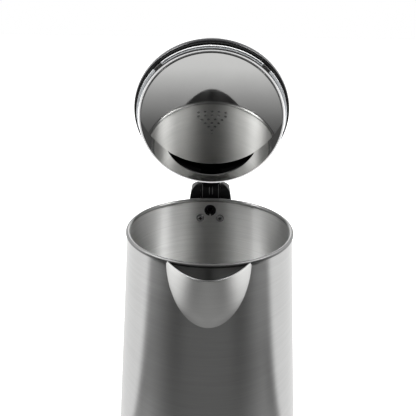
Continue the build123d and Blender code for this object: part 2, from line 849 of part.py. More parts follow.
def lid_tilted(y, h, slope):
    """Plane in the lid that gets deeper towards the hinge, through a point on the lid's middle."""
    along = (lid_plane.y_dir - lid_plane.z_dir * slope).normalized()
    return Plane(
        origin=lid_plane.from_local_coords((0, y, h)),
        x_dir=lid_plane.x_dir,
        z_dir=lid_plane.x_dir.cross(along),
    )


def upright(plane):
    """Section plane through a plane's origin, for revolving about that plane's normal."""
    return Plane(origin=plane.origin, x_dir=plane.x_dir, z_dir=-plane.y_dir)


crease_h = face_front - face_slope * (crease_y + liner_r - liner_y)
relief_growth = 1 / tan(radians(relief_angle))
liner_bodies = []
for inset in (0.0, wall):
    crease_plane = lid_tilted(crease_y, crease_h + inset, face_slope)
    with BuildPart() as liner_body:
        with BuildSketch(lid_plane.offset(2.3 + inset)):
            with Locations((0, liner_y)):
                Circle(liner_r - inset)
        extrude(amount=-20)
        with BuildSketch(upright(crease_plane)):
            with BuildLine():
                Polyline(
                    (0, 0),
                    (crease_r, 0),
                    (crease_r + 18 * relief_growth, 18),
                    (0, 18),
                    close=True,
                )
            make_face()
        revolve(axis=Axis(crease_plane.origin, crease_plane.z_dir), mode=Mode.INTERSECT)
    liner_bodies.append(liner_body.part)
with BuildPart() as lid_liner:
    add(liner_bodies[0])
    add(liner_bodies[1], mode=Mode.SUBTRACT)
    with BuildSketch(lid_plane):
        with Locations((0, vent_y)):
            Circle(vent_r)
        with Locations((0, crease_y)):
            Circle(crease_r + 0.5, mode=Mode.SUBTRACT)
    extrude(amount=-20, mode=Mode.SUBTRACT)
finish(lid_liner, "lid_liner")

ring_y = 2.4
ring_r = 58.9
ring_wire = 0.65
ring_slope = 0.075
ring_plane = lid_tilted(ring_y, -6.3, ring_slope)
with BuildPart() as liner_ring:
    with BuildSketch(upright(ring_plane)):
        with Locations((ring_r, 0)):
            Circle(ring_wire)
    revolve(axis=Axis(ring_plane.origin, ring_plane.z_dir))
finish(liner_ring, "liner_ring")

with BuildPart() as lid_seal:
    with BuildSketch(lid_plane.offset(-0.4)):
        Circle(seal_r)
        with Locations((0, liner_y)):
            Circle(liner_r + 0.1, mode=Mode.SUBTRACT)
    extrude(amount=2.7)
    with BuildSketch(lid_plane.offset(-4.0)):
        Circle(seal_r)
        with Locations((0, ring_y)):
            Circle(ring_r + ring_wire + 0.1, mode=Mode.SUBTRACT)
        with Locations((0, 32)):
            Rectangle(140, 50, mode=Mode.SUBTRACT)
    extrude(amount=3.7)
finish(lid_seal, "lid_seal")

with BuildPart() as seal_ribs:
    with BuildSketch(lid_plane.offset(-5.2)):
        for start, sweep_angle in ((-139.0, 98.0), (-33.0, 37.0), (176.0, 37.0)):
            with BuildLine():
                rib_arc = CenterArc((0, 0), seal_r - 0.55, start, sweep_angle)
                offset(rib_arc, amount=0.5, side=Side.BOTH)
            make_face()
    extrude(amount=1.15)
finish(seal_ribs, "seal_ribs")
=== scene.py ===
import json
from math import atan2, ceil, cos, hypot, pi, radians, sin, sqrt, tan

import bmesh
import bpy
from mathutils import Matrix, Vector


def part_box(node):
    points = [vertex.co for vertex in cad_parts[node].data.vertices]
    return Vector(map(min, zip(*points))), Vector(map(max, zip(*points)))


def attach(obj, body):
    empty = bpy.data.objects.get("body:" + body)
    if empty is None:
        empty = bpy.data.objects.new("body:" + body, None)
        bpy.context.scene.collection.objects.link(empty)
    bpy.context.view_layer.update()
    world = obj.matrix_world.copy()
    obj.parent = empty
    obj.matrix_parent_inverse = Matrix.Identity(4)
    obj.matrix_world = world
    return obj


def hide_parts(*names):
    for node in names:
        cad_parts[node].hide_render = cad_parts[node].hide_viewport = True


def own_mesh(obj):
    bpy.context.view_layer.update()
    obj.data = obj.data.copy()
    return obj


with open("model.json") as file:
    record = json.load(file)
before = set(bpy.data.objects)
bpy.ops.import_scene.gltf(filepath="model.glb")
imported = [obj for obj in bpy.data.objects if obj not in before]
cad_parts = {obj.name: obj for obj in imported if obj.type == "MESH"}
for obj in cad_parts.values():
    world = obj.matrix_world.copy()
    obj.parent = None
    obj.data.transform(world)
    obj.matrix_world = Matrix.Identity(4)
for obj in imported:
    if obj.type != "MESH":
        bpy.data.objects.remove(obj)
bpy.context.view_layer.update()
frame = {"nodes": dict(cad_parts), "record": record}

MM = 0.001
record = frame["record"]
nodes = frame["nodes"]
joints = {j["name"]: j for j in record["behaviour"]["joints"]}
node_slot = {s["node"]: s["material_slot"] for s in record["subparts"]}

# ---------------------------------------------------------------- sizes, metres, from the frame
SEGMENTS = 256
BEAD = 1.55 * MM
WALL = 0.8 * MM
shell_low, shell_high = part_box("jug_shell")
rim_z = shell_high.z - BEAD
rim_r = 64.0 * MM
taper = 0.0817
wall_shift = 0.15 * MM
shell_bottom = shell_low.z


def outer_r(z):
    """Outer radius of the steel jug at height z: the wall starts a little outside the bead's middle."""
    return rim_r - BEAD + WALL / 2 + wall_shift + taper * (rim_z - z)


# ---------------------------------------------------------------- the lid's own axes
hinge = Vector(joints["lid_hinge"]["pos_m"])
tilt = radians(joints["lid_hinge"]["range_deg"][1])
lid_rise = 3.7 * MM
reach, height = hinge.y, rim_z + lid_rise - hinge.z
lid_frame = Matrix(
    (
        (1, 0, 0, 0),
        (0, cos(tilt), sin(tilt), hinge.y - reach * cos(tilt) + height * sin(tilt)),
        (0, -sin(tilt), cos(tilt), hinge.z + reach * sin(tilt) + height * cos(tilt)),
        (0, 0, 0, 1),
    )
)


# ---------------------------------------------------------------- mesh helpers
def mesh_object(name, verts, faces, matrix=None, smooth=True, merge=0.0):
    """A mesh object from lists of points and faces, its faces turned outwards."""
    mesh = bpy.data.meshes.new(name)
    mesh.from_pydata([tuple(v) for v in verts], [], faces)
    if matrix is not None:
        mesh.transform(matrix)
    bm = bmesh.new()
    bm.from_mesh(mesh)
    if merge:
        bmesh.ops.remove_doubles(bm, verts=bm.verts, dist=merge)
    bmesh.ops.recalc_face_normals(bm, faces=bm.faces)
    for face in bm.faces:
        face.smooth = smooth
    bm.to_mesh(mesh)
    bm.free()
    obj = bpy.data.objects.new(name, mesh)
    bpy.context.scene.collection.objects.link(obj)
    return obj


def rounded(points, radius, steps=5):
    """A closed outline with each corner turned into an arc, radius a number or one per corner."""
    out = []
    count = len(points)
    for i, p in enumerate(points):
        r = radius[i] if isinstance(radius, (list, tuple)) else radius
        a, b = Vector(points[i - 1]) - Vector(p), Vector(points[(i + 1) % count]) - Vector(p)
        half = a.angle(b) / 2
        cut = min(r / tan(half), 0.48 * min(a.length, b.length))
        if r <= 0 or cut < 1e-7:
            out.append(tuple(p))
            continue
        start, end = Vector(p) + a.normalized() * cut, Vector(p) + b.normalized() * cut
        for k in range(steps + 1):
            t = k / steps
            out.append(tuple((1 - t) ** 2 * start + 2 * t * (1 - t) * Vector(p) + t * t * end))
    return out


def revolve(name, outline, matrix=None, segments=SEGMENTS, start=0.0, sweep=360.0):
    """A ring from a closed (radius, height) outline turned about local Z."""
    whole = sweep >= 360.0
    rows = segments if whole else max(3, ceil(segments * sweep / 360.0)) + 1
    verts, faces = [], []
    for i in range(rows):
        a = radians(start + sweep * i / (rows if whole else rows - 1))
        verts += [(r * cos(a), r * sin(a), h) for r, h in outline]
    n = len(outline)
    for i in range(rows if whole else rows - 1):
        j = (i + 1) % rows
        for k in range(n):
            m = (k + 1) % n
            faces.append((i * n + k, j * n + k, j * n + m, i * n + m))
    if not whole:
        faces.append(tuple(range(n)))
        faces.append(tuple((rows - 1) * n + k for k in range(n)))
    return mesh_object(name, verts, faces, matrix, merge=1e-7)


def cut(obj, tools):
    """Takes the tool meshes out of obj, then removes them."""
    bpy.context.view_layer.objects.active = obj
    for tool in tools:
        mod = obj.modifiers.new("cut", "BOOLEAN")
        mod.operation = "DIFFERENCE"
        mod.solver = "EXACT"
        mod.object = tool
    depsgraph = bpy.context.evaluated_depsgraph_get()
    mesh = bpy.data.meshes.new_from_object(obj.evaluated_get(depsgraph))
    obj.modifiers.clear()
    obj.data = mesh
    for tool in tools:
        bpy.data.objects.remove(tool)
    return obj


def rod(name, start, end, radius, segments=32):
    """A plain round rod, for cutting holes."""
    start, end = Vector(start), Vector(end)
    turn = (end - start).to_track_quat("Z", "Y").to_matrix().to_4x4()
    outline = rectangle(0, radius, 0, (end - start).length)
    return revolve(name, outline, Matrix.Translation(start) @ turn, segments)


def tube(name, points, radius, segments=12):
    """A round bead along open points, closed at both ends."""
    verts, faces = [], []
    count = len(points)
    for i, p in enumerate(points):
        along = (Vector(points[min(i + 1, count - 1)]) - Vector(points[max(i - 1, 0)])).normalized()
        side = along.orthogonal().normalized() if i == 0 else (side - along * side.dot(along)).normalized()
        other = along.cross(side)
        size = radius(i / (count - 1)) if callable(radius) else radius
        for k in range(segments):
            a = 2 * pi * k / segments
            verts.append(Vector(p) + (side * cos(a) + other * sin(a)) * size)
    for i in range(count - 1):
        here, ahead = i * segments, (i + 1) * segments
        for k in range(segments):
            m = (k + 1) % segments
            faces.append((here + k, here + m, ahead + m, ahead + k))
    faces.append(tuple(range(segments)))
    faces.append(tuple((count - 1) * segments + k for k in range(segments))[::-1])
    return mesh_object(name, verts, faces)


def tapered(size, end):
    """A bead's radius along its length: its full size, thinner towards both ends."""
    return lambda t: size * min(1.0, end + 5 * t * (1 - t))


def rectangle(left, right, low, high):
    """The outline of a rectangle, from its low left corner on."""
    return [(left, low), (right, low), (right, high), (left, high)]


def prism(name, outline, low, high, matrix=None, smooth=False):
    """A straight-sided block on a closed (x, y) outline."""
    n = len(outline)
    verts = [(x, y, low) for x, y in outline] + [(x, y, high) for x, y in outline]
    faces = [tuple(range(n))[::-1], tuple(range(n, 2 * n))]
    faces += [(k, (k + 1) % n, n + (k + 1) % n, n + k) for k in range(n)]
    return mesh_object(name, verts, faces, matrix, smooth)


def keep_flat(obj, angle=35.0):
    """Sharp edges where faces meet at more than the angle."""
    bm = bmesh.new()
    bm.from_mesh(obj.data)
    for edge in bm.edges:
        edge.smooth = len(edge.link_faces) == 2 and edge.calc_face_angle(0) < radians(angle)
    bm.to_mesh(obj.data)
    bm.free()


def soften(obj, width, segments=3, angle=30.0):
    """Rounds the edges of a piece and bakes the result."""
    mod = obj.modifiers.new("soften", "BEVEL")
    mod.width = width
    mod.segments = segments
    mod.limit_method = "ANGLE"
    mod.angle_limit = radians(angle)
    depsgraph = bpy.context.evaluated_depsgraph_get()
    obj_mesh = bpy.data.meshes.new_from_object(obj.evaluated_get(depsgraph))
    obj.modifiers.clear()
    obj.data = obj_mesh
    for polygon in obj_mesh.polygons:
        polygon.use_smooth = True
    keep_flat(obj, 50)
    return obj


def joined(name, parts):
    """One mesh object from several."""
    bpy.ops.object.select_all(action="DESELECT")
    for part in parts:
        part.select_set(True)
    bpy.context.view_layer.objects.active = parts[0]
    bpy.ops.object.join()
    obj = bpy.context.view_layer.objects.active
    obj.name = obj.data.name = name
    return obj


# ---------------------------------------------------------------- materials
def material(name, color, metallic=0.0, roughness=0.5, **sockets):
    """A Principled material; further sockets are given with _ for a space."""
    mat = bpy.data.materials.new(name)
    mat.use_nodes = True
    shader = mat.node_tree.nodes["Principled BSDF"]
    shader.inputs["Base Color"].default_value = (*color, 1)
    shader.inputs["Metallic"].default_value = metallic
    shader.inputs["Roughness"].default_value = roughness
    for key, value in sockets.items():
        shader.inputs[key.replace("_", " ")].default_value = value
    return mat


class Graph:
    """Short names for building the nodes of a material or of the world."""

    def __init__(self, owner):
        self.tree = owner.node_tree
        self.shader = self.tree.nodes.get("Principled BSDF")

    def node(self, kind, inputs=None, **settings):
        n = self.tree.nodes.new("ShaderNode" + kind)
        for key, value in settings.items():
            setattr(n, key, value)
        for key, value in (inputs or {}).items():
            if isinstance(value, bpy.types.NodeSocket):
                self.tree.links.new(value, n.inputs[key])
            else:
                n.inputs[key].default_value = value
        return n

    def math(self, operation, a, b=0.0, clamp=False):
        return self.node("Math", {0: a, 1: b}, operation=operation, use_clamp=clamp).outputs[0]

    def ramp(self, value, low, high, start=0.0, end=1.0):
        """Maps value from start..end to low..high."""
        limits = {"From Min": start, "From Max": end, "To Min": low, "To Max": high}
        return self.node("MapRange", {"Value": value, **limits}).outputs["Result"]

    def tones(self, value, stops):
        """Grey tones along value, from (place, tone) stops: the first two are its ends."""
        n = self.node("ValToRGB", {0: value})
        elements = n.color_ramp.elements
        for k, (place, tone) in enumerate(stops):
            e = elements[k] if k < 2 else elements.new(place)
            e.position = place
            e.color = (tone, tone, tone, 1)
        return n.outputs[0]

    def length(self, x, y):
        return self.math("SQRT", self.math("ADD", self.math("POWER", x, 2.0), self.math("POWER", y, 2.0)))

    def place(self):
        return self.node("TexCoord").outputs["Object"]

    def around(self, vector):
        """Turn about local Z, distance from it and height."""
        x, y, z = self.node("SeparateXYZ", {0: vector}).outputs
        return self.math("ARCTAN2", y, x), self.length(x, y), z

    def noise(self, vector, scale, detail=3.0, roughness=0.5):
        inputs = {"Vector": vector, "Scale": scale, "Detail": detail, "Roughness": roughness}
        return self.node("TexNoise", inputs).outputs["Fac"]

    def xyz(self, x, y, z):
        return self.node("CombineXYZ", {0: x, 1: y, 2: z}).outputs[0]

    def tint(self, fac, low, high):
        """A colour between low and high."""
        n = self.node("Mix", {"Factor": fac}, data_type="RGBA")
        n.inputs[6].default_value = (*low, 1)
        n.inputs[7].default_value = (*high, 1)
        return n.outputs[2]

    def bump(self, height, distance, strength=1.0, normal=None):
        inputs = {"Height": height, "Distance": distance, "Strength": strength}
        if normal is not None:
            inputs["Normal"] = normal
        return self.node("Bump", inputs).outputs[0]

    def link(self, socket, name):
        self.tree.links.new(socket, self.shader.inputs[name])

    def soft_edges(self, radius):
        return self.node("Bevel", {"Radius": radius}, samples=4).outputs[0]


def brushed(name, color, roughness, flat_face=False, spread=0.06, anisotropy=0.75, lid=False):
    """Steel with fine grain running round the jug's axis, or round the lid's."""
    mat = material(name, color, 1.0, roughness)
    g = Graph(mat)
    vector = g.place()
    if lid:
        back = lid_frame.inverted()
        shift, turn = back.to_translation(), back.to_euler()
        vector = g.node("Mapping", {"Vector": vector, "Location": shift, "Rotation": turn}).outputs[0]
    turn, far, along = g.around(vector)
    across = far if lid or flat_face else along
    turn_x, turn_y = g.math("COSINE", turn), g.math("SINE", turn)

    def lines(wander, pitch, detail):
        """Noise drawn out round the axis, so that it changes fast only across the grain."""
        x, y = g.math("MULTIPLY", turn_x, wander), g.math("MULTIPLY", turn_y, wander)
        return g.noise(g.xyz(x, y, g.math("MULTIPLY", across, pitch)), 1.0, detail)

    fine = lines(0.8, 1500.0, 2.0)
    broad = lines(2.0, 320.0, 3.0)
    smudge = g.noise(vector, 28.0, 4.0)
    grain = g.math("ADD", g.math("MULTIPLY", fine, 0.6), g.math("MULTIPLY", broad, 0.4))
    dark = tuple(c * (1 - 1.6 * spread) for c in color)
    light = tuple(min(1.0, c * (1 + 1.2 * spread)) for c in color)
    g.link(g.tint(g.ramp(grain, 0.0, 1.0, 0.3, 0.7), dark, light), "Base Color")
    grained = g.ramp(grain, roughness * 0.98, roughness * 1.02, 0.3, 0.7)
    smudged = g.ramp(smudge, -0.008, 0.008, 0.3, 0.7)
    g.link(g.math("ADD", grained, smudged), "Roughness")
    g.shader.inputs["Anisotropic"].default_value = anisotropy
    g.shader.inputs["Anisotropic Rotation"].default_value = 0.25
    tangent = g.node("Tangent", direction_type="RADIAL", axis="Z")
    g.link(tangent.outputs[0], "Tangent")
    return mat


def polished(name, color, roughness, **sockets):
    """Near-mirror steel with faint polishing marks and smudges."""
    mat = material(name, color, 1.0, roughness, **sockets)
    g = Graph(mat)
    vector = g.place()
    smudge = g.noise(vector, 22.0, 5.0, 0.6)
    stretched = g.node("Mapping", {"Vector": vector, "Scale": (25.0, 900.0, 900.0)}).outputs[0]
    marks = g.noise(stretched, 1.0, 2.0)
    smudged = g.ramp(smudge, roughness * 0.6, roughness * 1.7, 0.3, 0.7)
    g.link(g.math("ADD", smudged, g.ramp(marks, 0.0, 0.02, 0.4, 0.8)), "Roughness")
    dark = tuple(c * 0.95 for c in color)
    light = tuple(min(1.0, c * 1.03) for c in color)
    g.link(g.tint(g.ramp(smudge, 0.0, 1.0, 0.3, 0.7), dark, light), "Base Color")
    return mat


def moulded(name, color, roughness, grain=0.00003, grain_scale=2600.0, wear=0.05, edge=0.0004, **sockets):
    """Moulded plastic or rubber: fine surface grain, uneven gloss, paler worn edges."""
    mat = material(name, color, 0.0, roughness, **sockets)
    g = Graph(mat)
    vector = g.place()
    soft = g.soft_edges(edge)
    normal = g.node("NewGeometry").outputs["Normal"]
    facing = g.node("VectorMath", {0: soft, 1: normal}, operation="DOT_PRODUCT").outputs["Value"]
    cloud = g.noise(vector, 35.0, 4.0)
    edges = g.ramp(facing, 1.0, 0.0, 0.86, 0.99)
    worn = g.math("MULTIPLY", edges, g.ramp(cloud, 0.2, 1.0, 0.35, 0.65), clamp=True)
    pale = tuple(min(1.0, c + wear) for c in color)
    g.link(g.tint(worn, color, pale), "Base Color")
    speck = g.noise(vector, grain_scale, 2.0)
    g.link(g.ramp(cloud, roughness * 0.85, roughness * 1.15, 0.3, 0.7), "Roughness")
    g.link(g.bump(speck, grain, 0.6, soft), "Normal")
    return mat


SHALLOW, SMOOTH = 0.000004, 0.0
slots = {
    "jug_steel": brushed("jug_steel", (0.36, 0.36, 0.357), 0.32, spread=0.05, anisotropy=0.98),
    "floor_steel": brushed("floor_steel", (0.52, 0.52, 0.51), 0.30, flat_face=True, anisotropy=0.4),
    "lid_top_steel": brushed(
        "lid_top_steel", (0.33, 0.33, 0.325), 0.30, lid=True, anisotropy=0.0, spread=0.05
    ),
    "liner_mirror": polished("liner_mirror", (0.66, 0.66, 0.65), 0.03),
    # painted glow: the bead is near-white, and both it and the clear seal are given a little emission,
    # painted light that keeps them bright on the lid's shaded underside
    "liner_ring_steel": polished(
        "liner_ring_steel",
        (0.97, 0.97, 0.97),
        0.5,
        Emission_Color=(1.0, 1.0, 1.0, 1.0),
        Emission_Strength=0.55,
    ),
    "screw_steel": polished("screw_steel", (0.24, 0.24, 0.24), 0.18),
    "spring_steel": polished("spring_steel", (0.45, 0.45, 0.45), 0.30),
    "element_steel": brushed("element_steel", (0.33, 0.30, 0.28), 0.42, anisotropy=0.0, spread=0.15),
    "bimetal": polished("bimetal", (0.52, 0.45, 0.34), 0.30),
    "diffuser_aluminium": brushed(
        "diffuser_aluminium", (0.62, 0.62, 0.63), 0.40, flat_face=True, anisotropy=0.0
    ),
    "contact_brass": polished("contact_brass", (0.72, 0.52, 0.22), 0.28),
    "black_gloss": moulded("black_gloss", (0.014, 0.014, 0.016), 0.24, grain=SHALLOW, wear=0.02),
    "black_grip": moulded(
        "black_grip", (0.007, 0.007, 0.008), 0.5, wear=0.006, Specular_IOR_Level=0.16
    ),
    "black_housing": moulded(
        "black_housing", (0.010, 0.010, 0.011), 0.6, wear=0.004, Specular_IOR_Level=0.06
    ),
    "black_insulator": moulded("black_insulator", (0.03, 0.03, 0.03), 0.55),
    "cream_plastic": moulded("cream_plastic", (0.62, 0.57, 0.46), 0.45, wear=0.1),
    "foot_rubber": moulded("foot_rubber", (0.03, 0.03, 0.03), 0.75, wear=0.02),
    "black_rubber": moulded(
        "black_rubber", (0.004, 0.004, 0.004), 0.6, wear=0.004, Specular_IOR_Level=0.1
    ),
    "seal_grey": moulded("seal_grey", (0.12, 0.12, 0.12), 0.5, wear=0.04),
    # painted glow: the seal's ribs are pale and given a little emission, painted light that keeps them
    # visible on the lid's shaded underside
    "seal_clear": moulded(
        "seal_clear",
        (0.80, 0.80, 0.80),
        0.35,
        wear=0.1,
        Transmission_Weight=0.05,
        Emission_Color=(0.9, 0.95, 1.0, 1.0),
        Emission_Strength=0.16,
    ),
    "clear_silicone": moulded(
        "clear_silicone", (0.05, 0.05, 0.05), 0.4, wear=0.1, Transmission_Weight=0.3
    ),
    "lens_clear": moulded(
        "lens_clear", (0.70, 0.80, 0.92), 0.08, grain=SMOOTH, wear=0.05, Transmission_Weight=0.8
    ),
}
# painted shade and painted light on the spout: a dark steel inside it, painted shade in its hollow, a
# paler, rougher copy of the jug steel outside, painted light that keeps it evenly bright, and its lip
# takes the darker rim steel
spout_shaded_inside = brushed("spout_shaded_inside", (0.12, 0.12, 0.12), 0.40, anisotropy=0.5)
spout_lit_outside = brushed("spout_lit_outside", (0.60, 0.60, 0.59), 0.50, spread=0.04, anisotropy=0.3)
# the jug's inside: a more satin finish than the outside, and a paler colour that is painted light,
# brightening the inside where the lamps hardly reach
jug_lit_inside = brushed("jug_lit_inside", (0.74, 0.74, 0.73), 0.47, spread=0.06, anisotropy=0.98)
# painted shade: a darker copy of the jug steel, put on the rolled rim, the spout's lip and the liner's
# edge to stand for the dark surroundings they reflect
rim_shaded_steel = brushed("rim_shaded_steel", (0.15, 0.15, 0.15), 0.45, anisotropy=0.0)
for node, obj in nodes.items():
    obj.data.materials.clear()
    obj.data.materials.append(slots[node_slot[node]])


def piece(obj, body, slot, *replaced):
    """Finishes a new piece: its material, its body and the CAD nodes it stands for."""
    obj.data.materials.clear()
    obj.data.materials.append(slots[slot])
    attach(obj, body)
    if replaced:
        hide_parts(*replaced)
    return obj


# ---------------------------------------------------------------- jug wall, with its rolled rim
bead_steps, wall_rows = 20, 40
bead_middle = rim_r - BEAD
bead_join = radians(62)
wall_top = rim_z - 2.0 * MM
wall_step = (wall_top - shell_bottom) / wall_rows
wall_heights = [shell_bottom + wall_step * i for i in range(wall_rows + 1)]
outline = [(outer_r(shell_bottom) - WALL, shell_bottom)]
outline += [(outer_r(z), z) for z in wall_heights]
for i in range(bead_steps + 1):
    a = -bead_join + (pi + 2 * bead_join) * i / bead_steps
    outline.append((bead_middle + BEAD * cos(a), rim_z + BEAD * sin(a)))
outline += [(outer_r(z) - WALL, z) for z in wall_heights[:0:-1]]
jug_wall = revolve("jug_wall", outline)

# filter holes behind the spout, and the steam outlet opposite
hole_rows, hole_r = (5, 5, 4, 3, 2, 1), 1.6 * MM
hole_pitch, hole_drop, first_drop = 7.0 * MM, 5.6 * MM, 12.5 * MM
steam_z, steam_r = rim_z - 10.0 * MM, 4.3 * MM
cut_from, cut_to = 50 * MM, 80 * MM
tools = []
for row, count in enumerate(hole_rows):
    z = rim_z - first_drop - row * hole_drop
    for k in range(count):
        x = (k - (count - 1) / 2) * hole_pitch
        tools.append(rod("hole", (x, -cut_from, z), (x, -cut_to, z), hole_r, 20))
tools.append(rod("steam", (0, cut_from, steam_z), (0, cut_to, steam_z), steam_r, 40))
cut(jug_wall, tools)
keep_flat(jug_wall)
piece(jug_wall, "jug", "jug_steel", "jug_shell")
jug_wall.data.materials.append(rim_shaded_steel)
jug_wall.data.materials.append(jug_lit_inside)
# the rolled rim's top and outer side get the darker rim steel, painted shade for the dark room they
# reflect, and the wall's inside has a steel of its own
RIM_FACES, INNER_FACES = 1, 2
for polygon in jug_wall.data.polygons:
    spot = polygon.center
    far = hypot(spot.x, spot.y)
    if spot.z > rim_z - 1.0 * MM and far > bead_middle - 0.2 * MM:
        polygon.material_index = RIM_FACES
    elif spot.z < rim_z - 1.8 * MM and far < outer_r(spot.z) - WALL / 2:
        polygon.material_index = INNER_FACES


# ---------------------------------------------------------------- spout
spout_half = 28.4 * MM
spout_depth = 45.0 * MM
spout_reach = 20.15 * MM
spout_wall = 1.0 * MM


def beak_row(depth, inset, count=64):
    """The spout's outline at a depth below the rim: a round-nosed bow, narrower and shorter lower down."""
    share = depth / spout_depth
    half = spout_half * sqrt(1 - share * share)
    half -= min(inset, half / 2)
    wall_r = outer_r(rim_z - depth)
    tip = -wall_r - spout_reach * (1 - share) + inset * 1.15
    root = -sqrt(wall_r ** 2 - half ** 2)
    points = []
    for i in range(count + 1):
        u = -cos(pi * i / count)
        points.append(Vector((half * u, root + (tip - root) * (1 - u * u), rim_z - depth)))
    return points


depth_rows, lip_steps, lip_height = 40, 8, 0.75 * MM
depths = [spout_depth * sin(radians(87.5) * i / depth_rows) for i in range(depth_rows + 1)]
outside = [beak_row(d, 0.0) for d in depths]
inside = [beak_row(d, spout_wall) for d in depths]
lip = []
for k in range(1, lip_steps):
    a = pi * k / lip_steps
    across, lift = (1 - cos(a)) / 2, Vector((0, 0, lip_height * sin(a)))
    lip.append([p.lerp(q, across) + lift for p, q in zip(outside[0], inside[0])])
rows = outside[::-1] + lip + inside
width = len(rows[0])
verts = [v for row in rows for v in row]
faces = []
for i in range(len(rows)):
    j = (i + 1) % len(rows)
    for k in range(width - 1):
        faces.append((i * width + k, i * width + k + 1, j * width + k + 1, j * width + k))
faces.append(tuple(i * width for i in range(len(rows))))
faces.append(tuple(i * width + width - 1 for i in range(len(rows)))[::-1])
spout = mesh_object("spout_beak", verts, faces)
keep_flat(spout, 40)
piece(spout, "jug", "jug_steel", "spout")
spout.data.materials.append(spout_shaded_inside)
spout.data.materials.append(rim_shaded_steel)
spout.data.materials.append(spout_lit_outside)
INSIDE_FACES, LIP_FACES, OUTSIDE_FACES = 1, 2, 3
for polygon in spout.data.polygons:
    row = polygon.index // (width - 1)
    if len(outside) + lip_steps <= row < len(rows) - 1:
        polygon.material_index = INSIDE_FACES
    elif len(outside) + 1 <= row < len(outside) + lip_steps:
        polygon.material_index = LIP_FACES
    elif row < len(outside):
        polygon.material_index = OUTSIDE_FACES

# ---------------------------------------------------------------- lid underside
liner_r, liner_y, liner_top = 57.6 * MM, 2.2 * MM, 2.3 * MM
face_front, face_slope, dish = -4.1 * MM, 0.085, 0.5 * MM
crease_r, crease_y = 60.9 * MM, -21.0 * MM
relief = radians(4.0)


def face_h(x, y):
    """Height of the liner's face, which is very slightly dished."""
    far = (x * x + (y - liner_y) ** 2) / liner_r ** 2
    return face_front - face_slope * (y + liner_r - liner_y) + dish * (1 - far)


def liner_edge(a):
    """Distance from the crease's centre to the liner's edge in direction a."""
    dy = liner_y - crease_y
    b = dy * sin(a)
    return b + sqrt(b * b - dy * dy + liner_r ** 2)


TURNS = 360
RINGS = 24
RELIEF_RINGS = 14
EDGE_STEPS = 4
edge_round = 0.6 * MM


def liner_section(a):
    """The liner's section in direction a from the crease's centre: distance and height along the sheet."""
    edge = liner_edge(a)
    bend = edge - edge_round
    flat_end = min(bend, crease_r)
    front = [flat_end * k / RINGS for k in range(1, RINGS + 1)]
    front += [flat_end + (bend - flat_end) * k / RELIEF_RINGS for k in range(1, RELIEF_RINGS + 1)]
    heights = []
    for r in front:
        h = face_h(r * cos(a), crease_y + r * sin(a))
        heights.append((r, h + tan(relief) * max(r - flat_end, 0.0)))
    last = heights[-1][1]
    for k in range(1, EDGE_STEPS + 1):
        t = pi / 2 * k / EDGE_STEPS
        heights.append((bend + edge_round * sin(t), last + edge_round * (1 - cos(t))))
    heights.append((edge, liner_top))
    heights.append((edge - WALL, liner_top))
    heights.append((edge - WALL, last + edge_round + WALL))
    back = [(min(r, edge - WALL - 0.1 * MM), h + WALL) for r, h in heights[: RINGS + RELIEF_RINGS]]
    return heights + back[::-1]


middle = face_h(0, crease_y)
verts, faces = [(0, crease_y, middle), (0, crease_y, middle + WALL)], []
for i in range(TURNS):
    a = 2 * pi * i / TURNS
    section = liner_section(a)
    verts += [(r * cos(a), crease_y + r * sin(a), h) for r, h in section]
per = len(section)
for i in range(TURNS):
    j = (i + 1) % TURNS
    faces.append((0, 2 + j * per, 2 + i * per))
    faces.append((1, 2 + i * per + per - 1, 2 + j * per + per - 1))
    for k in range(per - 1):
        faces.append((2 + i * per + k, 2 + j * per + k, 2 + j * per + k + 1, 2 + i * per + k + 1))
liner = mesh_object("liner_face", verts, faces, lid_frame, merge=1e-7)

# crescent steam vent beyond the crease: its two arcs meet near +-vent_half
VENT_STEPS = 60
vent_r, vent_y = 39.5 * MM, 13.5 * MM
upper_r = crease_r + 0.5 * MM
HALF_STEPS = 400
vent_half = 0.0
for step in range(HALF_STEPS):
    x = vent_r * step / HALF_STEPS
    if vent_y + sqrt(vent_r ** 2 - x * x) > crease_y + sqrt(upper_r ** 2 - x * x):
        vent_half = x
lower_arc, upper_arc = [], []
for i in range(VENT_STEPS + 1):
    x = -vent_half + 2 * vent_half * i / VENT_STEPS
    lower_arc.append((x, vent_y + sqrt(vent_r ** 2 - x * x)))
    upper_arc.append((x, crease_y + sqrt(upper_r ** 2 - x * x)))
vent_tool = prism("vent", lower_arc[1:-1] + upper_arc[::-1], -20 * MM, 1.5 * MM, lid_frame)
cut(liner, [vent_tool])
keep_flat(liner, 2.5)
piece(liner, "lid", "liner_mirror", "lid_liner")
liner.data.materials.append(rim_shaded_steel)
# painted shade: the liner's rounded edge takes the darker rim steel, so it shows as a thin dark line in
# place of bright glints
EDGE_FACES = 1
to_lid = lid_frame.inverted()
for polygon in liner.data.polygons:
    spot = to_lid @ polygon.center
    if hypot(spot.x, spot.y - liner_y) > liner_r - edge_round:
        polygon.material_index = EDGE_FACES


def behind_liner(x, y, depth):
    """A point at a depth behind the liner's face."""
    r = hypot(x, y - crease_y)
    return lid_frame @ Vector((x, y, face_h(x, y) + tan(relief) * max(r - crease_r, 0.0) + depth))


# the vent's far edge is rolled inwards, almost flush with the face
vent_bead, flush = tapered(1.0 * MM, 0.2), 0.96
points = []
for k, (x, y) in enumerate(lower_arc[1:-1], 1):
    points.append(behind_liner(x, y, vent_bead(k / VENT_STEPS) * flush))
vent_lip = tube("vent_lip", points, vent_bead, 32)
piece(vent_lip, "lid", "liner_mirror")

# black baffle of the cover, seen through the vent
past_lower, past_upper = 2.6 * MM, 2.0 * MM
baffle_outline = [(x, y + past_lower) for x, y in lower_arc[1:-1]]
baffle_outline += [(x, y - past_upper) for x, y in upper_arc[::-1]]
baffle = prism("cover_baffle", baffle_outline, -0.6 * MM, 0.4 * MM, lid_frame)
soften(baffle, 0.2 * MM)
piece(baffle, "lid", "black_rubber")

